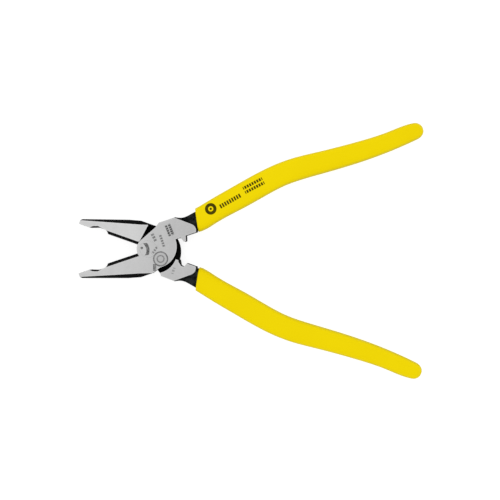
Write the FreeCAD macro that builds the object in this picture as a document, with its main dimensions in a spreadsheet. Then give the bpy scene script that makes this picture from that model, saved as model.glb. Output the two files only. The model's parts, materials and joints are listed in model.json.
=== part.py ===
import FreeCAD, Part
import math
import os
import Sketcher
from FreeCAD import Placement, Rotation, Vector

# High-leverage lineman pliers lying flat and open. Both levers are drawn in the closed pose, rivet axis at
# the origin, +X towards the handles and the middle of the thickness at Z = 0, with the jaw below the X axis
# and the handle above it. Each body is then turned open about the rivet and set down on Z = 0.

# Driving dimensions, in millimetres and degrees.
SIZES = {
    "half_thickness": 6.0,  # head, ground flat on both sides
    "lap_level": 0.05,  # lap face above the middle: half of the gap between the two plates
    "half_open": 19.0,  # turn of each lever from closed to the modelled pose
    "rivet_x": -61.25,  # rivet axis from the middle of the tool as it lies
    "disc_offset": 4.5,  # lap discs' centre from the rivet axis, towards the handles
    "front_disc": 12.65,
    "rear_disc": 14.5,
    "front_recess": 14.75,  # in the front lever, round the rear disc
    "rear_recess": 12.9,  # in the rear lever, round the front disc
    "throat_radius": 6.85,  # plate edge round the rivet, between the knives
    "step_radius": 7.1,  # end of the full-thickness jaw round the other plate
    "neck_end_radius": 4.6,
    "shank_radius": 4.0,
    "head_radius": 5.0,
    "head_depth": 1.2,
    "running_fit": 0.05,
    "tooth_pitch": 1.0,  # cross serrations on the nose
    "tooth_depth": 0.3,
    "tooth_count": 6,
    "groove_from": 0.5,  # sides and root of the first groove, in pitches from the tip
    "groove_root": 0.9,
    "groove_to": 1.3,
    "groove_over": 0.2,  # the cut starts this far off the nose
    "nest_bevel": 0.8,
    "grip_wall": 1.9,
    "tang_half": 4.0,
    "tang_round": 0.55,  # corner radius as a share of the half thickness
    "upper_mouth": 32.6,  # the grips' mouths along X
    "lower_mouth": 33.2,
    "mouth_middle": 7.4,
    "mouth_turn": -10.5,  # the grip's mouth leans from square to the X axis
    "neck_bevel": 0.5,  # along the end of the ground neck face
    "lip_round": 0.5,
    "top_crown": 4.0,  # radii of the grip's section, as shares of its half thickness
    "side_crown": 2.2,
    "corner_round": 0.7,
    "cap_start": 172.6,
    "cap_length": 5.9,
    "cap_inner": 10.95,
    "cap_outer": 21.25,
    "cap_half": 5.4,
}

# Corners of the outlines, from the rivet axis. "face" corners lie on the ground faces and "mid" corners on
# the middle plane, so a jaw's flank and its knife bevels run from one to the other.
CORNERS = {
    "tip_inner": (-43.8, -0.45),
    "nose_end": (-37.2, -0.45),
    "pipe_face_left": (-35.4, -2.0),
    "pipe_face_low": (-32.6, -3.0),
    "pipe_mid_left": (-35.6, -0.95),
    "pipe_mid_low": (-32.2, -2.2),
    "heel": (-27.6, -2.2),
    "knife_face": (-26.8, -2.2),
    "knife_mid": (-26.3, -0.2),
    "root_face": (-2, -2.2),
    "root_mid": (-2, -0.2),
    "back_low": (-2.0, -14.35),
    "bend_face": (-10.2, -11.85),
    "bend_mid": (-10.2, -14.42),
    "flank_face": (-17.5, -9.86),
    "flank_mid": (-17.5, -12.5),
    "tip_face": (-43.8, -2.7),
    "tip_mid": (-43.8, -3.65),
    "throat_low": (-6.487, -2.2),
    "front_throat_high": (-2.644, 6.319),
    "front_edge_end": (8.3, 10.9),
    "front_shoulder": (10.9, 12.85),
    "rear_throat_high": (-2.225, 6.479),
    "rear_edge_end": (8.9, 10.3),
    "rear_shoulder": (12.5, 12.6),
    "neck_top": (21.3, 12.85),
    "neck_bend": (29.4, 6.14),
    "neck_toe": (30.6, 0.45),
    "tooth_right": (23.6, 0.45),
    "tooth_low_right": (22.85, -2.35),
    "tooth_tip_right": (22.5, -2.75),
    "tooth_tip_left": (21.8, -2.75),
    "tooth_low_left": (21.35, -2.35),
    "tooth_left": (20.3, 0.35),
    "nest_right": (24.35, 0.4),
    "nest_high_right": (23.65, 2.4),
    "nest_top_right": (23.1, 2.95),
    "nest_top_left": (21.6, 2.95),
    "nest_high_left": (21.05, 2.5),
    "nest_left": (19.9, 0.3),
    "front_rim_high": (17.145, 0.35),
    "front_rim_low": (3.378, -12.6),
    "rear_rim_high": (18.997, -0.3),
    "rear_rim_low": (2.415, -14.35),
    "plate_in": (-6.0, -12.0),
    "front_back_low": (19.246, 0.35),
    "front_back_high": (12.49, 12.4),
    "front_back_tip": (12.3, 12.85),
    "rear_back_low": (17.397, 0.3),
    "rear_back_high": (11.239, 11),
    "rear_back_tip": (12.5, 12.6),
    "step_start": (-6.81, 2),
    "step_arc_end": (-6.292, -3.29),
    "step_end": (-4.43, -15.5),
    "step_far_low": (5.0, -15.5),
    "step_far_high": (5.0, 2.0),
}

# The handle at stations along X: inner edge, outer edge and half thickness of the dipped grip.
GRIP_STATIONS = {
    "grip_a": (42.0, 1.75, 15.95, 5.84),
    "grip_b": (62.0, 5.33, 19.97, 5.84),
    "grip_c": (80.0, 8.7, 23.15, 5.84),
    "grip_d": (90.0, 10.1, 24.13, 5.84),
    "grip_e": (100.0, 10.28, 24.17, 5.84),
    "grip_f": (114.0, 9.67, 23.0, 5.84),
    "grip_g": (138.0, 8.92, 21.23, 5.84),
    "grip_h": (158.0, 9.57, 20.93, 5.7),
}
# The bare steel between the neck and the grip: station, inner edge, outer edge, half thickness.
ROOT_STATIONS = {
    "root_a": (18.4, 6.1, 11.5, 4.9),
    "root_b": (22.8, 4.2, 12.1, 4.75),
    "root_c": (26.3, 1.0, 11.3, 4.6),
    "root_d": (30.5, 1.0, 11.85, 4.4),
    "root_e": (34.5, 1.8, 12.6, 4.1),
}
# Parallel to the mouth: distance behind the rim, then edges from the mouth's middle and half thickness.
LIP = (-7.2, 7.15, 5.8)
COLLAR_STATIONS = {
    "collar_a": (0.25, -7.0, 4.7, 5.0),
    "collar_b": (0.6, -7.28, 5.0, 5.2),
    "collar_c": (2.8, -6.88, 5.0, 5.2),
    "collar_d": (4.0, -6.0, 4.4, 4.6),
}
LIP_ANGLES = (0, 30, 60, 90)
CAP_ANGLES = (0, 28, 50, 67, 80)
TANG_END = ("tang_end", (168.0, 12.3, 19.4, 3.4))

SKETCH_OUTLINES = {
    "jaw_face": ("tip_inner", "nose_end", "pipe_face_left", "pipe_face_low", "heel", "knife_face",
                 "root_face", "back_low", "bend_face", "flank_face", "tip_face"),
    "jaw_mid": ("tip_inner", "nose_end", "pipe_mid_left", "pipe_mid_low", "heel", "knife_mid",
                "root_mid", "back_low", "bend_mid", "flank_mid", "tip_mid"),
}
TOOTH = ("tooth_right", "tooth_low_right", "tooth_tip_right", "tooth_tip_left", "tooth_low_left",
         "tooth_left")
NEST = ("nest_right", "nest_high_right", "nest_top_right", "nest_top_left", "nest_high_left", "nest_left")

doc = FreeCAD.newDocument("LinemanPliers")
sheet = doc.addObject("Spreadsheet::Sheet", "dims")


def fill_sheet():
    """Every driving dimension and corner gets a row: its name and its value, under an alias."""
    rows = dict(SIZES)
    for name, (x, y) in CORNERS.items():
        rows[name + "_x"] = x
        rows[name + "_y"] = y
    for name, values in station_rows():
        for key, value in zip(("at", "inner", "outer", "half"), values):
            rows[f"{name}_{key}"] = value
    for row, (name, value) in enumerate(rows.items(), 1):
        sheet.set(f"A{row}", name)
        sheet.set(f"B{row}", str(value))
        sheet.setAlias(f"B{row}", name)
    doc.recompute()


def station_rows():
    lip = ("lip", (0, *LIP))
    return [*ROOT_STATIONS.items(), *GRIP_STATIONS.items(), *COLLAR_STATIONS.items(), lip, TANG_END]


def origin_plane(body, role):
    return [feature for feature in body.Origin.OriginFeatures if feature.Role == role][0]


def new_sketch(body, name, role, offset=None):
    """Sketch on one of the body's own origin planes, raised along the plane's normal by an expression."""
    sketch = body.newObject("Sketcher::SketchObject", name)
    sketch.AttachmentSupport = [(origin_plane(body, role), "")]
    sketch.MapMode = "FlatFace"
    if offset:
        sketch.setExpression(".AttachmentOffset.Base.z", offset)
    return sketch


def bind(sketch, kind, *place, value, formula):
    """Adds a dimensional constraint and ties it to the sheet."""
    index = sketch.addConstraint(Sketcher.Constraint(kind, *place, value))
    sketch.setExpression(f"Constraints[{index}]", formula)


def add_arc(sketch, start, end, centre, radius, turn):
    """Arc from start to end about centre; turn is +1 anticlockwise. Returns its index and end numbers."""
    first, last = (start, end) if turn > 0 else (end, start)
    angles = [math.atan2(point[1] - centre[1], point[0] - centre[0]) for point in (first, last)]
    circle = Part.Circle(Vector(centre[0], centre[1], 0), Vector(0, 0, 1), radius)
    index = sketch.addGeometry(Part.ArcOfCircle(circle, angles[0], angles[1]))
    return (index, 1, 2) if turn > 0 else (index, 2, 1)


def arc_centre(start, end, radius, turn):
    """Centre of the minor arc of a given radius from start to end."""
    chord = Vector(end[0] - start[0], end[1] - start[1], 0)
    side = Vector(-chord.y, chord.x, 0).normalize() * turn
    reach = math.sqrt(radius**2 - chord.Length**2 / 4)
    middle = Vector(start[0] + end[0], start[1] + end[1], 0) * 0.5 + side * reach
    return middle.x, middle.y


def outline(sketch, steps):
    """Closed outline through named corners.

    Each step is a corner, how it is held ("xy" by both coordinates, "y" by its height alone on an arc, or
    "tangent" where an arc runs on into a line), and the edge that leaves it: None for a straight line, or
    (centre cell, radius cell, turn) for an arc, whose centre is "rivet", a cell on the X axis, or None.
    """
    edges = []
    for number, (corner, _, edge) in enumerate(steps):
        start = CORNERS[corner]
        end = CORNERS[steps[(number + 1) % len(steps)][0]]
        if edge is None:
            line = Part.LineSegment(Vector(*start, 0), Vector(*end, 0))
            edges.append((sketch.addGeometry(line), 1, 2))
            continue
        centre_cell, radius_cell, turn = edge
        radius = SIZES[radius_cell]
        centre = (SIZES.get(centre_cell, 0.0), 0.0)
        if centre_cell is None:
            centre = arc_centre(start, end, radius, turn)
        edges.append(add_arc(sketch, start, end, centre, radius, turn))
    for number, (corner, held, edge) in enumerate(steps):
        index, first, _ = edges[number]
        before, _, last = edges[number - 1]
        joint = "Tangent" if held == "tangent" else "Coincident"
        sketch.addConstraint(Sketcher.Constraint(joint, before, last, index, first))
        if held == "xy":
            bind(sketch, "DistanceX", -1, 1, index, first, value=CORNERS[corner][0],
                 formula=f"dims.{corner}_x")
        if held != "tangent":
            bind(sketch, "DistanceY", -1, 1, index, first, value=CORNERS[corner][1],
                 formula=f"dims.{corner}_y")
        if edge:
            hold_arc(sketch, index, edge)


def hold_arc(sketch, index, edge):
    centre_cell, radius_cell, _ = edge
    bind(sketch, "Radius", index, value=SIZES[radius_cell], formula=f"dims.{radius_cell}")
    if centre_cell == "rivet":
        sketch.addConstraint(Sketcher.Constraint("Coincident", index, 3, -1, 1))
    elif centre_cell:
        sketch.addConstraint(Sketcher.Constraint("PointOnObject", index, 3, -1))
        bind(sketch, "DistanceX", -1, 1, index, 3, value=SIZES[centre_cell], formula=f"dims.{centre_cell}")


def straight(names):
    return [(name, "xy", None) for name in names]


def pad(body, name, sketch, length):
    feature = body.newObject("PartDesign::Pad", name)
    feature.Profile = sketch
    feature.setExpression("Length", length)
    return feature


def pocket(body, name, sketch, length):
    """Cuts from the sketch towards the back of the tool."""
    feature = body.newObject("PartDesign::Pocket", name)
    feature.Profile = sketch
    feature.setExpression("Length", length)
    return feature


def loft(body, kind, name, sketches, ruled=False):
    feature = body.newObject(f"PartDesign::{kind}Loft", name)
    feature.Profile = sketches[0]
    feature.Sections = sketches[1:]
    feature.Ruled = ruled
    return feature


def jaw_block(body):
    """The full-thickness jaw, with ruled flanks and knife bevels, stopped short of the other plate."""
    back = new_sketch(body, "JawBackFace", "XY_Plane", "-dims.half_thickness")
    middle = new_sketch(body, "JawMiddle", "XY_Plane")
    front = new_sketch(body, "JawFrontFace", "XY_Plane", "dims.half_thickness")
    for sketch, name in ((back, "jaw_face"), (middle, "jaw_mid"), (front, "jaw_face")):
        outline(sketch, straight(SKETCH_OUTLINES[name]))
    loft(body, "Additive", "JawBlock", [back, middle, front], ruled=True)
    step = new_sketch(body, "Step", "XY_Plane", "dims.lap_level")
    outline(step, [
        ("step_start", "y", ("rivet", "step_radius", 1)),
        ("step_arc_end", "y", None),
        *straight(("step_end", "step_far_low", "step_far_high")),
    ])
    pocket(body, "StepCut", step, "2 * dims.half_thickness")


def plate(body, side, die):
    """The lap plate and neck: the disc and plate in the front layer, the neck alone in the back layer."""
    neck_end = (None, "neck_end_radius", -1)
    front = new_sketch(body, "PlateOutline", "XY_Plane", "dims.lap_level")
    outline(front, [
        ("throat_low", "y", ("rivet", "throat_radius", -1)),
        (f"{side}_throat_high", "tangent", None),
        *straight((f"{side}_edge_end", f"{side}_shoulder", "neck_top")),
        ("neck_bend", "xy", neck_end),
        *straight(("neck_toe", *die)),
        (f"{side}_rim_high", "y", ("disc_offset", f"{side}_disc", -1)),
        (f"{side}_rim_low", "y", None),
        *straight(("back_low", "plate_in")),
    ])
    pad(body, "Plate", front, "dims.half_thickness - dims.lap_level")
    back = new_sketch(body, "NeckOutline", "XY_Plane", "-dims.half_thickness")
    outline(back, [
        (f"{side}_back_tip", "xy", None),
        ("neck_top", "xy", None),
        ("neck_bend", "xy", neck_end),
        *straight(("neck_toe", *die)),
        (f"{side}_back_low", "y", ("disc_offset", f"{side}_recess", 1)),
        (f"{side}_back_high", "y", None),
    ])
    pad(body, "Neck", back, "dims.half_thickness + dims.lap_level")


def tang_section(body, name, values, cells):
    """Rounded rectangle across the tang; its corner radius is a share of the half thickness."""
    sketch = new_sketch(body, name, "YZ_Plane", cells[0])
    _, inner, outer, half = values
    radius = SIZES["tang_round"] * half
    low, high, rise = inner + radius, outer - radius, half - radius
    sides = [((outer, -rise), (outer, rise)), ((high, half), (low, half)),
             ((inner, rise), (inner, -rise)), ((low, -half), (high, -half))]
    corners = [(high, rise), (low, rise), (low, -rise), (high, -rise)]
    for number, (start, end) in enumerate(sides):
        sketch.addGeometry(Part.LineSegment(Vector(*start, 0), Vector(*end, 0)))
        circle = Part.Circle(Vector(*corners[number], 0), Vector(0, 0, 1), radius)
        first = number * math.pi / 2
        sketch.addGeometry(Part.ArcOfCircle(circle, first, first + math.pi / 2))
    for number in range(4):
        line, arc, following = 2 * number, 2 * number + 1, (2 * number + 2) % 8
        sketch.addConstraint(Sketcher.Constraint("Tangent", line, 2, arc, 1))
        sketch.addConstraint(Sketcher.Constraint("Tangent", arc, 2, following, 1))
        sketch.addConstraint(Sketcher.Constraint("Vertical" if number % 2 == 0 else "Horizontal", line))
    for arc in (3, 5, 7):
        sketch.addConstraint(Sketcher.Constraint("Equal", 1, arc))
    bind(sketch, "Radius", 1, value=radius, formula=f"dims.tang_round * {cells[3]}")
    bind(sketch, "DistanceX", -1, 1, 0, 1, value=outer, formula=cells[2])
    bind(sketch, "DistanceX", -1, 1, 4, 1, value=inner, formula=cells[1])
    bind(sketch, "DistanceY", -1, 1, 2, 1, value=half, formula=cells[3])
    bind(sketch, "DistanceY", -1, 1, 6, 1, value=-half, formula=f"-({cells[3]})")
    return sketch


def crossing(low, low_radius, right, right_radius):
    """The upper right crossing of a circle centred at height low and one centred at right on the X axis."""
    apart = math.hypot(low, right)
    along = (low_radius**2 - right_radius**2 + apart**2) / (2 * apart)
    across = math.sqrt(low_radius**2 - along**2)
    return (along * right - across * low) / apart, low + (across * right - along * low) / apart


def crowned_section(body, name, values, cells):
    """Soft rounded section of the grip: four crowned sides joined by four corner arcs, all tangent."""
    sketch = new_sketch(body, name, "YZ_Plane", cells[0])
    _, inner, outer, half = values
    middle, reach = (inner + outer) / 2, (outer - inner) / 2
    top, side, corner = (SIZES[share] * half for share in ("top_crown", "side_crown", "corner_round"))
    elbow = crossing(half - top, top - corner, reach - side, side - corner)
    lean = math.atan2(elbow[0], elbow[1] - half + top)
    rise = math.atan2(elbow[1], elbow[0] - reach + side)
    quarter = math.pi / 2
    arcs = [((middle + reach - side, 0), side, -rise, rise),
            ((middle + elbow[0], elbow[1]), corner, rise, quarter - lean),
            ((middle, half - top), top, quarter - lean, quarter + lean),
            ((middle - elbow[0], elbow[1]), corner, quarter + lean, 2 * quarter - rise),
            ((middle - reach + side, 0), side, 2 * quarter - rise, 2 * quarter + rise),
            ((middle - elbow[0], -elbow[1]), corner, 2 * quarter + rise, 3 * quarter - lean),
            ((middle, top - half), top, 3 * quarter - lean, 3 * quarter + lean),
            ((middle + elbow[0], -elbow[1]), corner, 3 * quarter + lean, 4 * quarter - rise)]
    for centre, radius, first, last in arcs:
        circle = Part.Circle(Vector(*centre, 0), Vector(0, 0, 1), radius)
        sketch.addGeometry(Part.ArcOfCircle(circle, first, last))
    for number in range(8):
        sketch.addConstraint(Sketcher.Constraint("Tangent", number, 2, (number + 1) % 8, 1))
    for number, twin in ((0, 4), (1, 3), (1, 5), (1, 7), (2, 6)):
        sketch.addConstraint(Sketcher.Constraint("Equal", number, twin))
    for number, share in ((0, "side_crown"), (1, "corner_round"), (2, "top_crown")):
        bind(sketch, "Radius", number, value=SIZES[share] * half, formula=f"dims.{share} * ({cells[3]})")
    for number, sign, edge in ((0, "-", cells[2]), (4, "+", cells[1])):
        sketch.addConstraint(Sketcher.Constraint("PointOnObject", number, 3, -1))
        bind(sketch, "DistanceX", -1, 1, number, 3, value=arcs[number][0][0],
             formula=f"{edge} {sign} dims.side_crown * ({cells[3]})")
    for number, sign in ((2, ""), (6, "-")):
        bind(sketch, "DistanceX", -1, 1, number, 3, value=middle, formula=f"({cells[1]} + {cells[2]}) / 2")
        bind(sketch, "DistanceY", -1, 1, number, 3, value=arcs[number][0][1],
             formula=f"{sign}(1 - dims.top_crown) * ({cells[3]})")
    return sketch


def station_cells(name):
    return [f"dims.{name}_{key}" for key in ("at", "inner", "outer", "half")]


def tang_sections(body):
    """The steel from the neck to its hidden end, one wall thickness inside the grip."""
    sketches = []
    for name, values in ROOT_STATIONS.items():
        sketches.append(tang_section(body, "Tang_" + name, values, station_cells(name)))
    wall = SIZES["grip_wall"]
    for name, (at, inner, outer, _) in GRIP_STATIONS.items():
        cells = station_cells(name)
        cells[1:] = [cells[1] + " + dims.grip_wall", cells[2] + " - dims.grip_wall", "dims.tang_half"]
        values = (at, inner + wall, outer - wall, SIZES["tang_half"])
        sketches.append(tang_section(body, "Tang_" + name, values, cells))
    name, values = TANG_END
    sketches.append(tang_section(body, "Tang_" + name, values, station_cells(name)))
    return sketches


def mouth_section(body, name, values, cells, mouth):
    """Section parallel to the leaning mouth; its first cell is its distance behind the rim."""
    sketch = crowned_section(body, name, values, cells)
    sketch.AttachmentOffset = Placement(Vector(), Rotation(Vector(0, 1, 0), SIZES["mouth_turn"]))
    lean = "dims.mouth_turn * 1 deg"
    sketch.setExpression(".AttachmentOffset.Base.x", f"dims.mouth_middle + {cells[0]} * sin({lean})")
    sketch.setExpression(".AttachmentOffset.Base.z", f"{mouth} + {cells[0]} * cos({lean})")
    sketch.setExpression(".AttachmentOffset.Rotation.Angle", "dims.mouth_turn")
    return sketch


def lip_section(body, angle, mouth):
    """One section of the rounded lip, which a quarter circle takes from the rim to the full section."""
    inner, outer, half = LIP
    inset = SIZES["lip_round"] * (1 - math.sin(math.radians(angle)))
    values = (0, inner + inset, outer - inset, half - inset)
    _, near, far, high = station_cells("lip")
    drawn_in = f"dims.lip_round * (1 - sin({angle} deg))"
    cells = (f"dims.lip_round * (1 - cos({angle} deg))", f"({near} + {drawn_in})",
             f"({far} - {drawn_in})", f"({high} - {drawn_in})")
    return mouth_section(body, f"Grip_lip_{angle}", values, cells, mouth)


def grip_sections(body):
    """The grip's sections from behind its lip to where its domed end begins."""
    return [crowned_section(body, "Grip_" + name, values, station_cells(name))
            for name, values in GRIP_STATIONS.items()]


def cap_section(body, angle):
    """One section of the domed end, which thins out as an ellipse does."""
    along, across = math.sin(math.radians(angle)), math.cos(math.radians(angle))
    middle = (SIZES["cap_inner"] + SIZES["cap_outer"]) / 2
    reach = (SIZES["cap_outer"] - SIZES["cap_inner"]) / 2 * across
    values = (SIZES["cap_start"] + SIZES["cap_length"] * along, middle - reach, middle + reach,
              SIZES["cap_half"] * across)
    centre = "(dims.cap_outer + dims.cap_inner) / 2"
    side = f"cos({angle} deg) * (dims.cap_outer - dims.cap_inner) / 2"
    cells = (f"dims.cap_start + dims.cap_length * sin({angle} deg)", f"({centre} - {side})",
             f"({centre} + {side})", f"dims.cap_half * cos({angle} deg)")
    return crowned_section(body, f"Grip_cap_{angle}", values, cells)


def rivet_profile(body, name, fit=""):
    """Half of the rivet's section: a straight shank between two cone heads ground flush with the faces."""
    sketch = new_sketch(body, name, "XZ_Plane")
    shank, head = SIZES["shank_radius"], SIZES["head_radius"]
    half, depth = SIZES["half_thickness"], SIZES["head_depth"]
    shank_cell, head_cell = "dims.shank_radius" + fit, "dims.head_radius" + fit
    half_cell, neck_cell = "dims.half_thickness", "dims.half_thickness - dims.head_depth"
    points = [(0, -half, None, f"-{half_cell}"), (head, -half, head_cell, f"-{half_cell}"),
              (shank, depth - half, shank_cell, f"-({neck_cell})"),
              (shank, half - depth, shank_cell, neck_cell),
              (head, half, head_cell, half_cell), (0, half, None, half_cell)]
    for number, (x, y, _, _) in enumerate(points):
        end = points[(number + 1) % len(points)]
        sketch.addGeometry(Part.LineSegment(Vector(x, y, 0), Vector(end[0], end[1], 0)))
    for number, (x, y, x_cell, y_cell) in enumerate(points):
        following = (number + 1) % len(points)
        sketch.addConstraint(Sketcher.Constraint("Coincident", number, 2, following, 1))
        bind(sketch, "DistanceY", -1, 1, number, 1, value=y, formula=y_cell)
        if x_cell:
            bind(sketch, "DistanceX", -1, 1, number, 1, value=x, formula=x_cell)
        else:
            sketch.addConstraint(Sketcher.Constraint("PointOnObject", number, 1, -2))
    return sketch


def revolve(body, kind, name, sketch):
    feature = body.newObject(f"PartDesign::{kind}", name)
    feature.Profile = sketch
    feature.ReferenceAxis = (sketch, ["V_Axis"])
    feature.Angle = 360.0
    return feature


def serrations(body):
    """Cross grooves over the nose, cut from one face to the other at an even pitch."""
    sketch = new_sketch(body, "Groove", "XY_Plane", "dims.half_thickness")
    x, y = CORNERS["tip_inner"]
    over, root = y + SIZES["groove_over"], y - SIZES["tooth_depth"]
    corners = [("groove_from", over, "+ dims.groove_over"), ("groove_to", over, "+ dims.groove_over"),
               ("groove_root", root, "- dims.tooth_depth")]
    points = [Vector(x + SIZES[share] * SIZES["tooth_pitch"], height, 0) for share, height, _ in corners]
    for number, point in enumerate(points):
        sketch.addGeometry(Part.LineSegment(point, points[(number + 1) % 3]))
    for number, (share, height, rise) in enumerate(corners):
        sketch.addConstraint(Sketcher.Constraint("Coincident", number, 2, (number + 1) % 3, 1))
        bind(sketch, "DistanceX", -1, 1, number, 1, value=points[number].x,
             formula=f"dims.tip_inner_x + dims.{share} * dims.tooth_pitch")
        bind(sketch, "DistanceY", -1, 1, number, 1, value=height, formula=f"dims.tip_inner_y {rise}")
    groove = pocket(body, "NoseGroove", sketch, "2 * dims.half_thickness")
    pattern = body.newObject("PartDesign::LinearPattern", "NoseSerrations")
    pattern.Originals = [groove]
    pattern.Direction = (sketch, ["H_Axis"])
    pattern.setExpression("Occurrences", "dims.tooth_count")
    pattern.setExpression("Length", "(dims.tooth_count - 1) * dims.tooth_pitch")
    body.Tip = pattern


def edges_through(shape, points):
    """Names of the edges that the given points lie on."""
    names = []
    for number, edge in enumerate(shape.Edges, 1):
        if any(edge.distToShape(Part.Vertex(point))[0] < 1e-4 for point in points):
            names.append(f"Edge{number}")
    return names


def dress(body, kind, name, base, points, size_name, size):
    """Chamfers or rounds the edges that the given points lie on."""
    doc.recompute()
    feature = body.newObject(f"PartDesign::{kind}", name)
    feature.Base = (base, edges_through(base.Shape, points))
    feature.setExpression(size_name, size)
    return feature


def neck_bevels(body):
    """Bevels where the ground neck faces end and the forged tang begins, on both sides."""
    top, bend, toe = (CORNERS[name] for name in ("neck_top", "neck_bend", "neck_toe"))
    radius = SIZES["neck_end_radius"]
    centre = Vector(*arc_centre(bend, toe, radius, -1), 0)
    outward = (Vector(*bend, 0) + Vector(*toe, 0)) * 0.5 - centre
    on_arc = centre + outward.normalize() * radius
    on_line = (Vector(*top, 0) + Vector(*bend, 0)) * 0.5
    half = SIZES["half_thickness"]
    points = [Vector(spot.x, spot.y, level) for spot in (on_arc, on_line) for level in (half, -half)]
    dress(body, "Chamfer", "NeckBevel", body.Tip, points, "Size", "dims.neck_bevel")


def nest_bevels(body):
    """Opens the mouth of the crimp nest on the rivet's side."""
    middle = (Vector(*CORNERS["nest_left"], 0) + Vector(*CORNERS["nest_high_left"], 0)) * 0.5
    half = SIZES["half_thickness"]
    points = [Vector(middle.x, middle.y, level) for level in (half, -half)]
    dress(body, "Chamfer", "NestBevel", body.Tip, points, "Size", "dims.nest_bevel")


def new_body(label):
    body = doc.addObject("PartDesign::Body", label)
    body.Label = label
    return body


def lever(label, side, die, fit):
    body = new_body(label)
    jaw_block(body)
    plate(body, side, die)
    loft(body, "Additive", "Tang", tang_sections(body))
    neck_bevels(body)
    if die is NEST:
        nest_bevels(body)
    revolve(body, "Groove", "RivetHole", rivet_profile(body, "HoleProfile", fit))
    serrations(body)
    return body


def grip(label, mouth):
    body = new_body(label)
    lip = [lip_section(body, angle, mouth) for angle in LIP_ANGLES]
    collar = [mouth_section(body, "Grip_" + name, values, station_cells(name), mouth)
              for name, values in COLLAR_STATIONS.items()]
    cap = [cap_section(body, angle) for angle in CAP_ANGLES]
    loft(body, "Additive", "DippedGrip", [lip[-1]] + grip_sections(body) + cap)
    loft(body, "Additive", "Lip", lip)
    loft(body, "Additive", "Collar", collar, ruled=True)
    loft(body, "Subtractive", "TangSpace", tang_sections(body))
    return body


def place(body, flipped):
    """Opens the body about the rivet and sets the tool down; the rear side is turned over."""
    turn = sheet.get("half_open") * (-1 if flipped else 1)
    rotation = Rotation(Vector(0, 0, 1), turn)
    if flipped:
        rotation = rotation.multiply(Rotation(Vector(1, 0, 0), 180))
    body.Placement = Placement(Vector(sheet.get("rivet_x"), 0, sheet.get("half_thickness")), rotation)


def build():
    fill_sheet()
    front = lever("front_lever", "front", TOOTH, "")
    rear = lever("rear_lever", "rear", NEST, " + dims.running_fit")
    upper = grip("upper_grip", "dims.upper_mouth")
    lower = grip("lower_grip", "dims.lower_mouth")
    rivet = new_body("pivot_rivet")
    revolve(rivet, "Revolution", "RivetSolid", rivet_profile(rivet, "RivetProfile"))
    for body, flipped in ((front, False), (upper, False), (rivet, False), (rear, True), (lower, True)):
        place(body, flipped)
    doc.recompute()
    return [front, rear, rivet, upper, lower]


def check(bodies):
    for item in doc.Objects:
        if "Invalid" in item.State or "Error" in item.State:
            raise RuntimeError(f"{item.Label} failed: {item.State}")
    for body in bodies:
        if body.Shape.isNull() or not body.Shape.isValid() or len(body.Shape.Solids) != 1:
            raise RuntimeError(f"{body.Label} is not one valid solid")


def write(bodies):
    os.makedirs("parts", exist_ok=True)
    for body in bodies:
        body.Shape.exportStep(os.path.join("parts", body.Label + ".step"))
        box = body.Shape.BoundBox
        size = [round(length, 2) for length in (box.XLength, box.YLength, box.ZLength)]
        print(body.Label, "volume", round(body.Shape.Volume, 1), "size", size)


parts = build()
check(parts)
write(parts)
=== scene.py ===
import json
import math

import bpy
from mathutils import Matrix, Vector

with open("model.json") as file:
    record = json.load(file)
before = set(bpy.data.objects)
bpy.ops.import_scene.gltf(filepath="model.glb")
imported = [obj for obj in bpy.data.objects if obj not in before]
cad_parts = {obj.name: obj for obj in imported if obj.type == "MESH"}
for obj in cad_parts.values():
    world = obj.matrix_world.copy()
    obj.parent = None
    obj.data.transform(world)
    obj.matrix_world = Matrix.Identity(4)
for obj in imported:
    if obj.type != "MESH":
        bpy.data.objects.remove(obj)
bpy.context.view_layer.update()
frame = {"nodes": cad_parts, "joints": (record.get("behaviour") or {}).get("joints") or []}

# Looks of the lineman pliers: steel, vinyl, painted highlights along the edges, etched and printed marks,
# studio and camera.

MM = 0.001
WHITE = (1.0, 1.0, 1.0, 1.0)

# Linear colours.
OXIDE_DEEP = (0.0008, 0.0009, 0.0010, 1.0)
# The second oxide tone is a painted sheen, for oxide faces that face up.
OXIDE_SHEEN = (0.0240, 0.0270, 0.0268, 1.0)
VINYL_DEEP = (0.885, 0.665, 0.0004, 1.0)
VINYL_LIGHT = (0.945, 0.750, 0.0006, 1.0)
# The flank colour is painted shade for the grips' sides.
VINYL_FLANK_SHADE = (0.62, 0.50, 0.0004, 1.0)
INK = (0.0045, 0.0040, 0.0010, 1.0)

FRONT_POLISH = 0.499  # share of the light that the ground steel gives back
REAR_POLISH = 0.526
PAST_RIVET = 0.87  # the steel's tone behind the rivet, against the jaws'
EDGE_HIGHLIGHT = 1.2  # and along its edges, a painted highlight
ETCHED = 0.10  # and in an etched mark

# Rows of even bars, in mm and degrees: x and y from the rivet, turn of the row, pitch, width of a bar,
# length of the row, height, and how dark the row is.
FRONT_ROWS = (
    (13.4, 11.8, -68, 1.25, 1.0, 6.9, 1.6, 1.0),
    (11.6, 10.9, -68, 1.4, 1.15, 7.2, 1.4, 1.0),
    (3.3, 6.9, -64, 1.8, 1.2, 5.3, 1.8, 0.75),
    (8.2, 4.9, -71, 1.55, 1.05, 7.4, 1.5, 0.75),
    (3.9, -0.6, 56, 1.6, 1.0, 5.6, 1.4, 0.7),
    (3.9, -10.9, 90, 0.8, 0.6, 4.0, 1.9, 1.0),
)
REAR_ROWS = ((15.0, -12.8, 72, 1.9, 1.1, 3.8, 1.5, 0.5),)
PRINT_ROWS = (
    (48.4, 28.8, 30, 1.6, 1.0, 14.4, 2.5, 1.0),
    (61.6, 39.3, 28, 1.6, 1.1, 12.8, 1.8, 1.0),
    (62.9, 36.9, 28, 1.6, 1.1, 12.8, 1.8, 1.0),
)

PIVOT = Vector(frame["joints"][0]["pos_m"])
HALF = PIVOT.z  # half of the head's thickness


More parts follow.
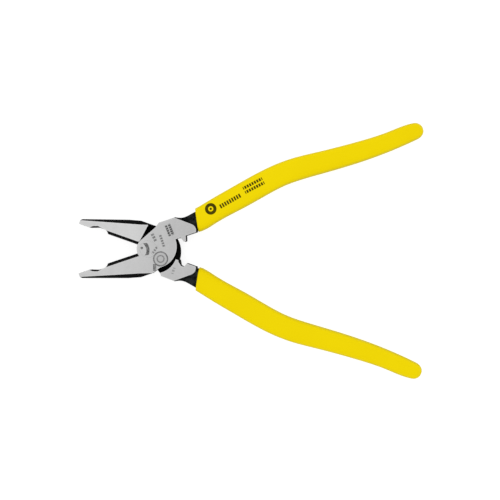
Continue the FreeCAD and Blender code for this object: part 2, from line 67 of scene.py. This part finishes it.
class Looks:
    """A material's node tree, with short calls for the nodes that the looks need."""

    def __init__(self, name):
        self.material = bpy.data.materials.new(name)
        self.material.use_nodes = True
        self.tree = self.material.node_tree
        self.tree.nodes.clear()
        self.shader = self.tree.nodes.new("ShaderNodeBsdfPrincipled")
        output = self.tree.nodes.new("ShaderNodeOutputMaterial")
        self.tree.links.new(self.shader.outputs["BSDF"], output.inputs["Surface"])
        self.place = self.node("ShaderNodeTexCoord").outputs["Object"]

    def feed(self, socket, value):
        if isinstance(value, bpy.types.NodeSocket):
            self.tree.links.new(value, socket)
        else:
            socket.default_value = value

    def node(self, kind, inputs=None, **settings):
        made = self.tree.nodes.new(kind)
        for name, value in settings.items():
            setattr(made, name, value)
        for name, value in (inputs or {}).items():
            self.feed(made.inputs[name], value)
        return made

    def shade(self, **values):
        """Sets the shader's sockets; a word such as base_color stands for Base Color."""
        for name, value in values.items():
            words = name.split("_")
            label = " ".join(word.upper() if word == "ior" else word.capitalize() for word in words)
            self.feed(self.shader.inputs[label], value)

    def math(self, operation, *values):
        made = self.node("ShaderNodeMath", operation=operation)
        for socket, value in zip(made.inputs, values):
            self.feed(socket, value)
        return made.outputs[0]

    def step(self, value, low, high):
        """Smooth step from 0 at low to 1 at high."""
        made = self.node("ShaderNodeMapRange", interpolation_type="SMOOTHSTEP", clamp=True)
        for name, number in (("Value", value), ("From Min", low), ("From Max", high)):
            self.feed(made.inputs[name], number)
        return made.outputs["Result"]

    def spread(self, value, low, high):
        """Linear map of 0..1 to low..high."""
        return self.math("MULTIPLY_ADD", value, high - low, low)

    def noise(self, vector, scale, detail=2.0, roughness=0.5):
        inputs = {"Vector": vector, "Scale": scale, "Detail": detail, "Roughness": roughness}
        return self.node("ShaderNodeTexNoise", inputs).outputs["Fac"]

    def turned(self, place, angle, scale):
        """The object's own place, from another origin, turned by an angle and scaled."""
        mapping = self.node("ShaderNodeMapping", vector_type="TEXTURE")
        inputs = {"Vector": self.place, "Location": place, "Rotation": (0, 0, angle), "Scale": scale}
        for name, value in inputs.items():
            self.feed(mapping.inputs[name], value)
        return mapping.outputs["Vector"]

    def stretched(self, angle, along, across):
        """The object's own place, turned and scaled: few cycles along, many across."""
        return self.turned((0, 0, 0), angle, (1 / along, 1 / across, 1 / across))

    def mix(self, factor, first, second):
        made = self.node("ShaderNodeMix", data_type="RGBA")
        for socket, value in ((made.inputs[0], factor), (made.inputs[6], first), (made.inputs[7], second)):
            self.feed(socket, value)
        return made.outputs[2]

    def blend(self, factor, first, second):
        made = self.node("ShaderNodeMix", data_type="FLOAT")
        for socket, value in ((made.inputs[0], factor), (made.inputs[2], first), (made.inputs[3], second)):
            self.feed(socket, value)
        return made.outputs[0]

    def parts(self, vector):
        return self.node("ShaderNodeSeparateXYZ", {"Vector": vector}).outputs

    def at(self, x, y, degrees):
        """The place in mm from a point given from the rivet, with its first axis turned by degrees."""
        middle = (PIVOT.x + x * MM, PIVOT.y + y * MM, 0)
        return self.parts(self.turned(middle, math.radians(degrees), (MM, MM, MM)))

    def tilt(self):
        """1 on level faces, 0 on upright ones."""
        normal = self.node("ShaderNodeNewGeometry").outputs["Normal"]
        return self.math("ABSOLUTE", self.parts(normal)[2])

    def on_top(self):
        """1 on the upper side, 0 on the middle of the thickness and below."""
        return self.step(self.parts(self.place)[2], HALF, 1.5 * HALF)

    def inside(self, value, half):
        """1 where the value in mm is within half of 0, with a soft edge."""
        fade = 0.06
        return self.math("SUBTRACT", 1.0, self.step(self.math("ABSOLUTE", value), half - fade, half + fade))

    def dashes(self, spot, pitch, width, length, height):
        """A row of even bars along the spot's first axis."""
        bar = self.inside(self.math("WRAP", spot[0], pitch / 2, -pitch / 2), width / 2)
        row = self.math("MULTIPLY", self.inside(spot[0], length / 2), self.inside(spot[1], height / 2))
        return self.math("MULTIPLY", bar, row)

    def ring(self, spot, radius, half):
        return self.inside(self.math("SUBTRACT", self.reach(spot), radius), half)

    def soft(self, mask, share):
        return self.math("MULTIPLY", mask, share)

    def rows(self, table):
        """A mask for each row of bars in one of the tables above."""
        return [self.soft(self.dashes(self.at(x, y, turn), *bars), dark)
                for x, y, turn, *bars, dark in table]

    def joined(self, masks):
        whole = masks[0]
        for mask in masks[1:]:
            whole = self.math("MAXIMUM", whole, mask)
        return whole

    def reach(self, spot):
        """Distance from a spot, in mm."""
        squares = [self.math("MULTIPLY", spot[axis], spot[axis]) for axis in (0, 1)]
        return self.math("SQRT", self.math("ADD", *squares))

    def near_edges(self, radius):
        """1 close to the object's own edges, 0 on flat ground: how far a rounding would turn the normal."""
        turned = self.node("ShaderNodeBevel", {"Radius": radius}, samples=4).outputs["Normal"]
        straight = self.node("ShaderNodeNewGeometry").outputs["Normal"]
        inputs = {0: turned, 1: straight}
        likeness = self.node("ShaderNodeVectorMath", inputs, operation="DOT_PRODUCT").outputs["Value"]
        return self.math("SUBTRACT", 1.0, self.step(likeness, 0.85, 0.998))

    def bump(self, height, strength, distance):
        inputs = {"Height": height, "Strength": strength, "Distance": distance}
        return self.node("ShaderNodeBump", inputs).outputs["Normal"]


def forged_steel(name, grain_angle, polish, marks):
    """Black oxide all over, ground through to bright steel on the head's two flat faces, with a painted
    sheen and painted shade on the oxide and a painted highlight along the steel's edges.
    """
    looks = Looks(name)
    level = looks.math("ABSOLUTE", looks.math("SUBTRACT", looks.parts(looks.place)[2], HALF))
    tilt = looks.tilt()
    speckle = looks.noise(looks.place, 900.0, 3.0)
    edge = looks.spread(speckle, 0.86, 0.96)
    flat = looks.step(tilt, edge, looks.math("ADD", edge, 0.03))
    near_face = looks.step(level, HALF - 0.35 * MM, HALF - 0.15 * MM)
    ground = looks.math("MULTIPLY", flat, near_face)

    lines = looks.noise(looks.stretched(grain_angle, 60.0, 3200.0), 1.0, 3.0, 0.6)
    broad = looks.noise(looks.stretched(grain_angle, 30.0, 180.0), 1.0, 2.0)
    cloud = looks.noise(looks.place, 55.0, 4.0, 0.6)
    pits = looks.noise(looks.place, 1300.0, 2.0)
    tone = looks.math("ADD", looks.spread(lines, -0.03, 0.03), looks.spread(broad, -0.03, 0.03))
    tone = looks.math("ADD", tone, looks.spread(pits, -0.03, 0.03))
    tone = looks.math("ADD", tone, looks.spread(cloud, polish - 0.04, polish + 0.04))
    from_rivet = looks.at(0, 0, 0)
    reach = looks.reach(from_rivet)
    past_rivet = looks.step(from_rivet[0], -14.0, 16.0)
    tone = looks.math("MULTIPLY", tone, looks.spread(past_rivet, 1.0, PAST_RIVET))
    # Painted highlight: the steel is lighter along its edges, away from the rivet, where a rounded edge
    # would catch the light.
    edge_highlight = looks.math("MULTIPLY", looks.near_edges(1.2 * MM), looks.step(reach, 6.5, 9.0))
    tone = looks.math("MULTIPLY", tone, looks.spread(edge_highlight, 1.0, EDGE_HIGHLIGHT))
    etched = looks.math("MULTIPLY", marks(looks), looks.on_top())
    etched = looks.math("MULTIPLY", etched, looks.spread(looks.step(pits, 0.35, 0.6), 0.7, 1.0))
    tone = looks.math("MULTIPLY", tone, looks.spread(etched, 1.0, ETCHED))
    steel = looks.node("ShaderNodeCombineColor", {"Red": tone, "Green": tone, "Blue": tone}).outputs[0]

    # Painted sheen and painted shade on the oxide: faces that face up, off the mid plane or past the rivet,
    # are lighter as if the sky shone on them. The sheen is strongest on the bare tang, with painted shade
    # towards the neck and towards the grip's mouth, and patchy at random.
    raised = looks.math("MAXIMUM", looks.step(level, 1.0 * MM, 3.0 * MM), past_rivet)
    between_painted_shades = looks.math("SUBTRACT", looks.step(reach, 27.0, 32.0), looks.step(reach, 33.5, 36.5))
    sheen_clear_of_shade = looks.math("MULTIPLY", raised, looks.spread(between_painted_shades, 0.3, 1.5))
    sheen_facing_up = looks.math("MULTIPLY", looks.step(tilt, 0.35, 0.9), sheen_clear_of_shade)
    painted_sheen = looks.math("MULTIPLY", sheen_facing_up, looks.step(looks.noise(looks.place, 260.0, 5.0, 0.7), 0.3, 0.7))
    # The oxide's lighter tone here is that painted sheen.
    oxide = looks.mix(painted_sheen, OXIDE_DEEP, OXIDE_SHEEN)
    looks.shade(
        base_color=looks.mix(ground, oxide, steel),
        metallic=ground,
        roughness=looks.blend(ground, looks.spread(cloud, 0.55, 0.7), looks.spread(lines, 0.30, 0.44)),
        specular_ior_level=looks.blend(ground, looks.spread(painted_sheen, 0.008, 0.06), 0.5),
    )
    grain = looks.blend(ground, looks.noise(looks.place, 1500.0, 4.0), lines)
    grain = looks.math("SUBTRACT", grain, looks.math("MULTIPLY", etched, 0.8))
    looks.shade(normal=looks.bump(grain, 0.25, 0.02 * MM))
    return looks.material


def front_marks(looks):
    """Plain etched marks on the front plate: rows of bars, a hatched arc, two rings and a dot."""
    arc = looks.at(-6.1, -0.9, 10)
    band = looks.math("MULTIPLY", looks.ring(arc, 6.0, 0.95), looks.inside(arc[1], 3.6))
    hatch = looks.dashes(looks.at(-0.6, 0.0, 0), 0.9, 0.4, 8.0, 9.0)
    gauge, dot = looks.at(7.4, -5.8, 0), looks.at(-3.8, 0.6, 0)
    return looks.joined([
        *looks.rows(FRONT_ROWS),
        looks.math("MULTIPLY", band, looks.spread(hatch, 0.85, 1.0)),
        looks.soft(looks.ring(gauge, 4.1, 0.42), 0.8),
        looks.soft(looks.ring(gauge, 2.0, 0.40), 0.65),
        looks.soft(looks.ring(gauge, 0.0, 4.1), 0.10),
        looks.soft(looks.ring(dot, 0.0, 0.75), 0.95),
    ])


def rear_marks(looks):
    return looks.joined(looks.rows(REAR_ROWS))


def dipped_vinyl(name, printed):
    """Plastic coat from a dip: yellow, with painted shade darkening its flanks, satin, with a faint orange
    peel.
    """
    looks = Looks(name)
    cloud = looks.noise(looks.place, 28.0, 3.0)
    fine = looks.noise(looks.place, 650.0, 3.0, 0.55)
    peel = looks.noise(looks.place, 260.0, 2.0)
    colour = looks.mix(cloud, VINYL_DEEP, VINYL_LIGHT)
    # Painted shade: the coat is darker on its flanks, where less light would fall.
    colour = looks.mix(looks.step(looks.tilt(), 0.1, 0.85), VINYL_FLANK_SHADE, colour)
    if printed:
        ink = looks.math("MULTIPLY", print_marks(looks), looks.on_top())
        colour = looks.mix(looks.math("MULTIPLY", ink, looks.spread(fine, 0.86, 1.0)), colour, INK)
    looks.shade(
        base_color=colour,
        roughness=looks.math("ADD", looks.spread(fine, 0.34, 0.44), looks.spread(cloud, -0.04, 0.06)),
        ior=1.48,
        specular_ior_level=0.03,
        normal=looks.bump(looks.math("ADD", peel, looks.math("MULTIPLY", fine, 0.3)), 0.12, 0.15 * MM),
    )
    return looks.material


def print_marks(looks):
    """Plain print along the upper grip: a ring with a dot and three even rows of upright bars."""
    badge = looks.at(36.9, 24.1, 0)
    ring, dot = looks.ring(badge, 2.5, 0.95), looks.ring(badge, 0.0, 0.7)
    return looks.joined([ring, dot, *looks.rows(PRINT_ROWS)])


def coat(node, material):
    """Gives a node one material, and returns the node."""
    item = frame["nodes"][node]
    item.data.materials.clear()
    item.data.materials.append(material)
    return item


def break_edges(item, width):
    """Welds a forging's mesh, joins its flat faces and breaks its edges by a small radius."""
    weld = item.modifiers.new("Weld", "WELD")
    weld.merge_threshold = 0.5e-6
    flat = item.modifiers.new("FlatFaces", "DECIMATE")
    flat.decimate_type = "DISSOLVE"
    flat.angle_limit = math.radians(0.4)
    bevel = item.modifiers.new("BrokenEdges", "BEVEL")
    bevel.width = width
    bevel.segments = 2
    bevel.limit_method = "ANGLE"
    bevel.angle_limit = math.radians(28)
    bevel.harden_normals = True
    smooth = item.modifiers.new("Normals", "WEIGHTED_NORMAL")
    smooth.keep_sharp = True


def aim(item, target):
    item.rotation_euler = (Vector(target) - item.location).to_track_quat("-Z", "Y").to_euler()


def softbox(name, place, size, power, target):
    light = bpy.data.lights.new(name, "AREA")
    light.shape = "RECTANGLE"
    light.size, light.size_y = size
    light.energy = power
    item = bpy.data.objects.new(name, light)
    item.location = place
    aim(item, target)
    bpy.context.scene.collection.objects.link(item)


def studio():
    """White table that glows a little, a sky that is brightest overhead and one large softbox."""
    bpy.ops.mesh.primitive_plane_add(size=12.0, location=(0, 0, -0.0004))
    floor = bpy.context.object
    floor.name = "studio_floor"
    looks = Looks("white_table")
    tone = looks.spread(looks.noise(looks.place, 4.0), 0.0, 0.02)
    looks.shade(base_color=looks.mix(tone, (0.32, 0.32, 0.32, 1), (0.30, 0.30, 0.30, 1)), roughness=0.8,
                specular_ior_level=0.05, emission_color=WHITE, emission_strength=0.84)
    floor.data.materials.append(looks.material)
    world = bpy.data.worlds.new("soft_sky")
    world.use_nodes = True
    nodes, links = world.node_tree.nodes, world.node_tree.links
    height = nodes.new("ShaderNodeSeparateXYZ")
    links.new(nodes.new("ShaderNodeTexCoord").outputs["Generated"], height.inputs["Vector"])
    rise = nodes.new("ShaderNodeMapRange")
    rise.inputs["To Min"].default_value = 0.75
    rise.inputs["To Max"].default_value = 0.95
    links.new(height.outputs["Z"], rise.inputs["Value"])
    sky = nodes["Background"]
    sky.inputs["Color"].default_value = WHITE
    links.new(rise.outputs["Result"], sky.inputs["Strength"])
    bpy.context.scene.world = world
    softbox("key_softbox", (-0.25, 0.35, 1.1), (0.9, 0.9), 1.2, (0, 0, 0))


def camera():
    """Looks straight down from half a metre, turned by under half a degree."""
    eye = bpy.data.cameras.new("camera")
    eye.lens = 60.0
    eye.sensor_width = 36.0
    eye.clip_start = 0.01
    item = bpy.data.objects.new("camera", eye)
    item.location = PIVOT + Vector((60.36, -0.15, 500.0)) * MM
    item.rotation_euler = (0, 0, math.radians(0.40))
    bpy.context.scene.collection.objects.link(item)
    bpy.context.scene.camera = item
    view = bpy.context.scene.view_settings
    view.view_transform = "Standard"


def dress():
    front_grain, rear_grain = math.radians(89), math.radians(91)
    front = forged_steel("front_steel", front_grain, FRONT_POLISH, front_marks)
    rear = forged_steel("rear_steel", rear_grain, REAR_POLISH, rear_marks)
    rivet = forged_steel("rivet_steel_look", front_grain, FRONT_POLISH, front_marks)
    break_edges(coat("front_lever", front), 0.10 * MM)
    break_edges(coat("rear_lever", rear), 0.10 * MM)
    break_edges(coat("pivot_rivet", rivet), 0.04 * MM)
    coat("upper_grip", dipped_vinyl("upper_grip_vinyl", True))
    coat("lower_grip", dipped_vinyl("lower_grip_vinyl", False))


dress()
studio()
camera()
